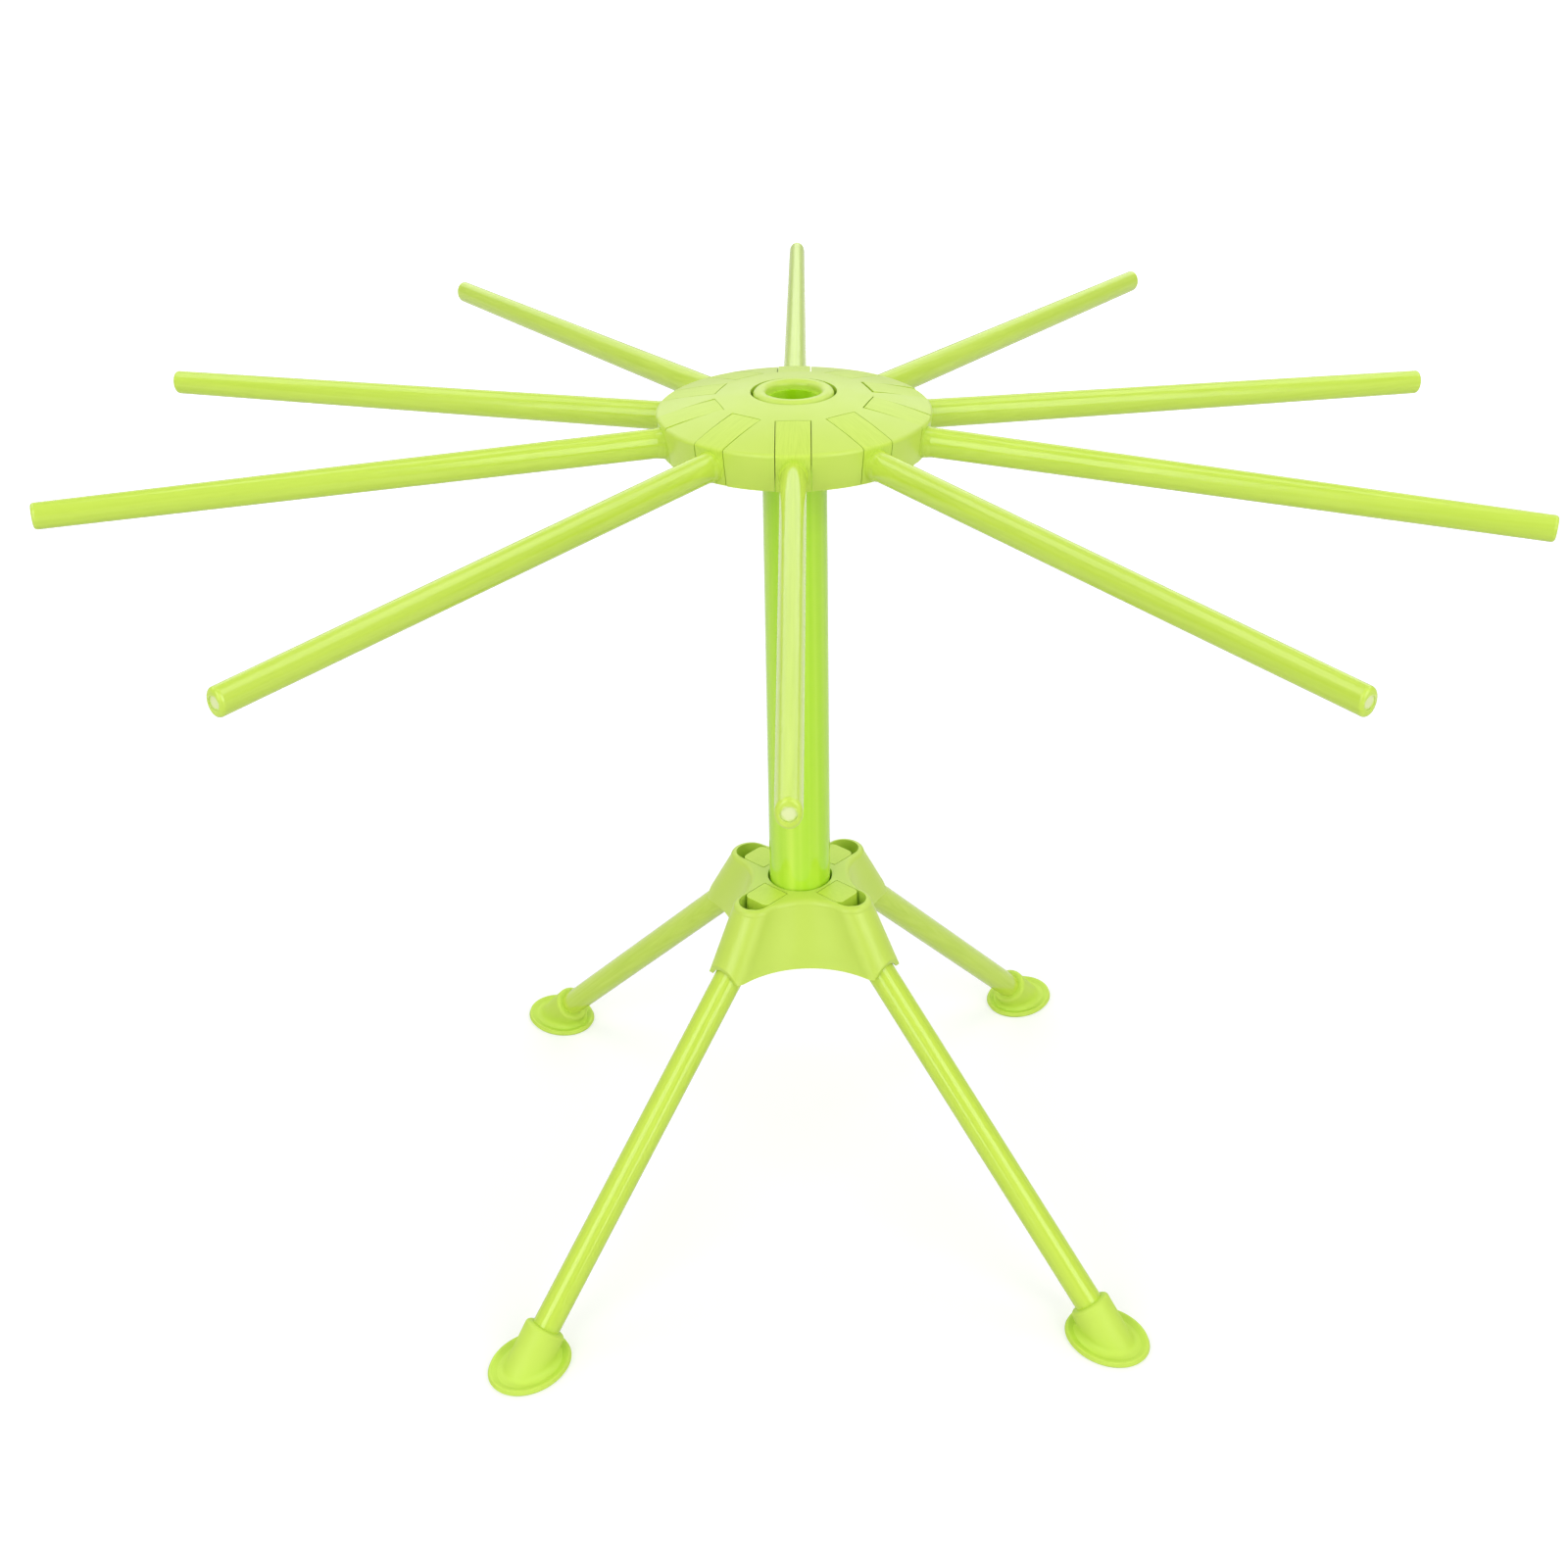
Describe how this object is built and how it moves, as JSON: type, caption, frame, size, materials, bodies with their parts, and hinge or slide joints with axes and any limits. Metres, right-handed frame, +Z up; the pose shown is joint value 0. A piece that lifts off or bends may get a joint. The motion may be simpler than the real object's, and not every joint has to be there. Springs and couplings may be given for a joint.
{
  "type": "pasta drying rack",
  "caption": "Folding pasta drying rack: tapered arms fold down from a domed turning hub on a round column, over a lobed base hub with hinged legs and soft oval feet.",
  "frame": {"origin": "on the column axis, on the plane the feet stand on", "axes": "+Z up along the column; the legs point along the diagonals of X and Y; the front of the picture faces -Y"},
  "size_m": [0.4361, 0.4495, 0.3079],
  "materials": {
    "hub_plastic": "satin moulded lime green",
    "arm_plastic": "gloss moulded lime green",
    "column_plastic": "gloss moulded lime green",
    "leg_plastic": "gloss moulded lime green",
    "foot_plastic": "soft matte lime green"
  },
  "bodies": {
    "base": {"base_hub": "hub_plastic"},
    "column": {"column_tube": "column_plastic", "top_collar": "hub_plastic"},
    "hub": {"top_hub": "hub_plastic"},
    "arm_01": {"arm_01": "arm_plastic"},
    "arm_02": {"arm_02": "arm_plastic"},
    "arm_03": {"arm_03": "arm_plastic"},
    "arm_04": {"arm_04": "arm_plastic"},
    "arm_05": {"arm_05": "arm_plastic"},
    "arm_06": {"arm_06": "arm_plastic"},
    "arm_07": {"arm_07": "arm_plastic"},
    "arm_08": {"arm_08": "arm_plastic"},
    "arm_09": {"arm_09": "arm_plastic"},
    "arm_10": {"arm_10": "arm_plastic"},
    "leg_1": {"leg_1": "leg_plastic", "foot_1": "foot_plastic"},
    "leg_2": {"leg_2": "leg_plastic", "foot_2": "foot_plastic"},
    "leg_3": {"leg_3": "leg_plastic", "foot_3": "foot_plastic"},
    "leg_4": {"leg_4": "leg_plastic", "foot_4": "foot_plastic"}
  },
  "joints": [
    {"name": "column_lift", "type": "slide", "parent": "base", "child": "column", "axis": [0, 0, 1], "range_m": [0, 0.03]},
    {"name": "hub_spin", "type": "hinge", "parent": "column", "child": "hub", "pos_m": [0, 0, 0.29021], "axis": [0, 0, 1], "continuous": true},
    {"name": "arm_01_fold", "type": "hinge", "parent": "hub", "child": "arm_01", "pos_m": [-0.0017, -0.02995, 0.29611], "axis": [0.9984, -0.0567, 0], "range_deg": [0, 80]},
    {"name": "arm_02_fold", "type": "hinge", "parent": "hub", "child": "arm_02", "pos_m": [0.01623, -0.02523, 0.29611], "axis": [0.841, 0.541, 0], "range_deg": [0, 80]},
    {"name": "arm_03_fold", "type": "hinge", "parent": "hub", "child": "arm_03", "pos_m": [0.02796, -0.01087, 0.29611], "axis": [0.3624, 0.932, 0], "range_deg": [0, 80]},
    {"name": "arm_04_fold", "type": "hinge", "parent": "hub", "child": "arm_04", "pos_m": [0.02901, 0.00764, 0.29611], "axis": [-0.2546, 0.967, 0], "range_deg": [0, 80]},
    {"name": "arm_05_fold", "type": "hinge", "parent": "hub", "child": "arm_05", "pos_m": [0.01898, 0.02323, 0.29611], "axis": [-0.7744, 0.6327, 0], "range_deg": [0, 80]},
    {"name": "arm_06_fold", "type": "hinge", "parent": "hub", "child": "arm_06", "pos_m": [0.0017, 0.02995, 0.29611], "axis": [-0.9984, 0.0567, 0], "range_deg": [0, 80]},
    {"name": "arm_07_fold", "type": "hinge", "parent": "hub", "child": "arm_07", "pos_m": [-0.01623, 0.02523, 0.29611], "axis": [-0.841, -0.541, 0], "range_deg": [0, 80]},
    {"name": "arm_08_fold", "type": "hinge", "parent": "hub", "child": "arm_08", "pos_m": [-0.02796, 0.01087, 0.29611], "axis": [-0.3624, -0.932, 0], "range_deg": [0, 80]},
    {"name": "arm_09_fold", "type": "hinge", "parent": "hub", "child": "arm_09", "pos_m": [-0.02901, -0.00764, 0.29611], "axis": [0.2546, -0.967, 0], "range_deg": [0, 80]},
    {"name": "arm_10_fold", "type": "hinge", "parent": "hub", "child": "arm_10", "pos_m": [-0.01898, -0.02323, 0.29611], "axis": [0.7744, -0.6327, 0], "range_deg": [0, 80]},
    {"name": "leg_1_fold", "type": "hinge", "parent": "base", "child": "leg_1", "pos_m": [0.01344, 0.01344, 0.12501], "axis": [-0.7071, 0.7071, 0], "range_deg": [0, 40]},
    {"name": "leg_2_fold", "type": "hinge", "parent": "base", "child": "leg_2", "pos_m": [-0.01344, 0.01344, 0.12501], "axis": [-0.7071, -0.7071, 0], "range_deg": [0, 40]},
    {"name": "leg_3_fold", "type": "hinge", "parent": "base", "child": "leg_3", "pos_m": [-0.01344, -0.01344, 0.12501], "axis": [0.7071, -0.7071, 0], "range_deg": [0, 40]},
    {"name": "leg_4_fold", "type": "hinge", "parent": "base", "child": "leg_4", "pos_m": [0.01344, -0.01344, 0.12501], "axis": [0.7071, 0.7071, 0], "range_deg": [0, 40]}
  ]
}
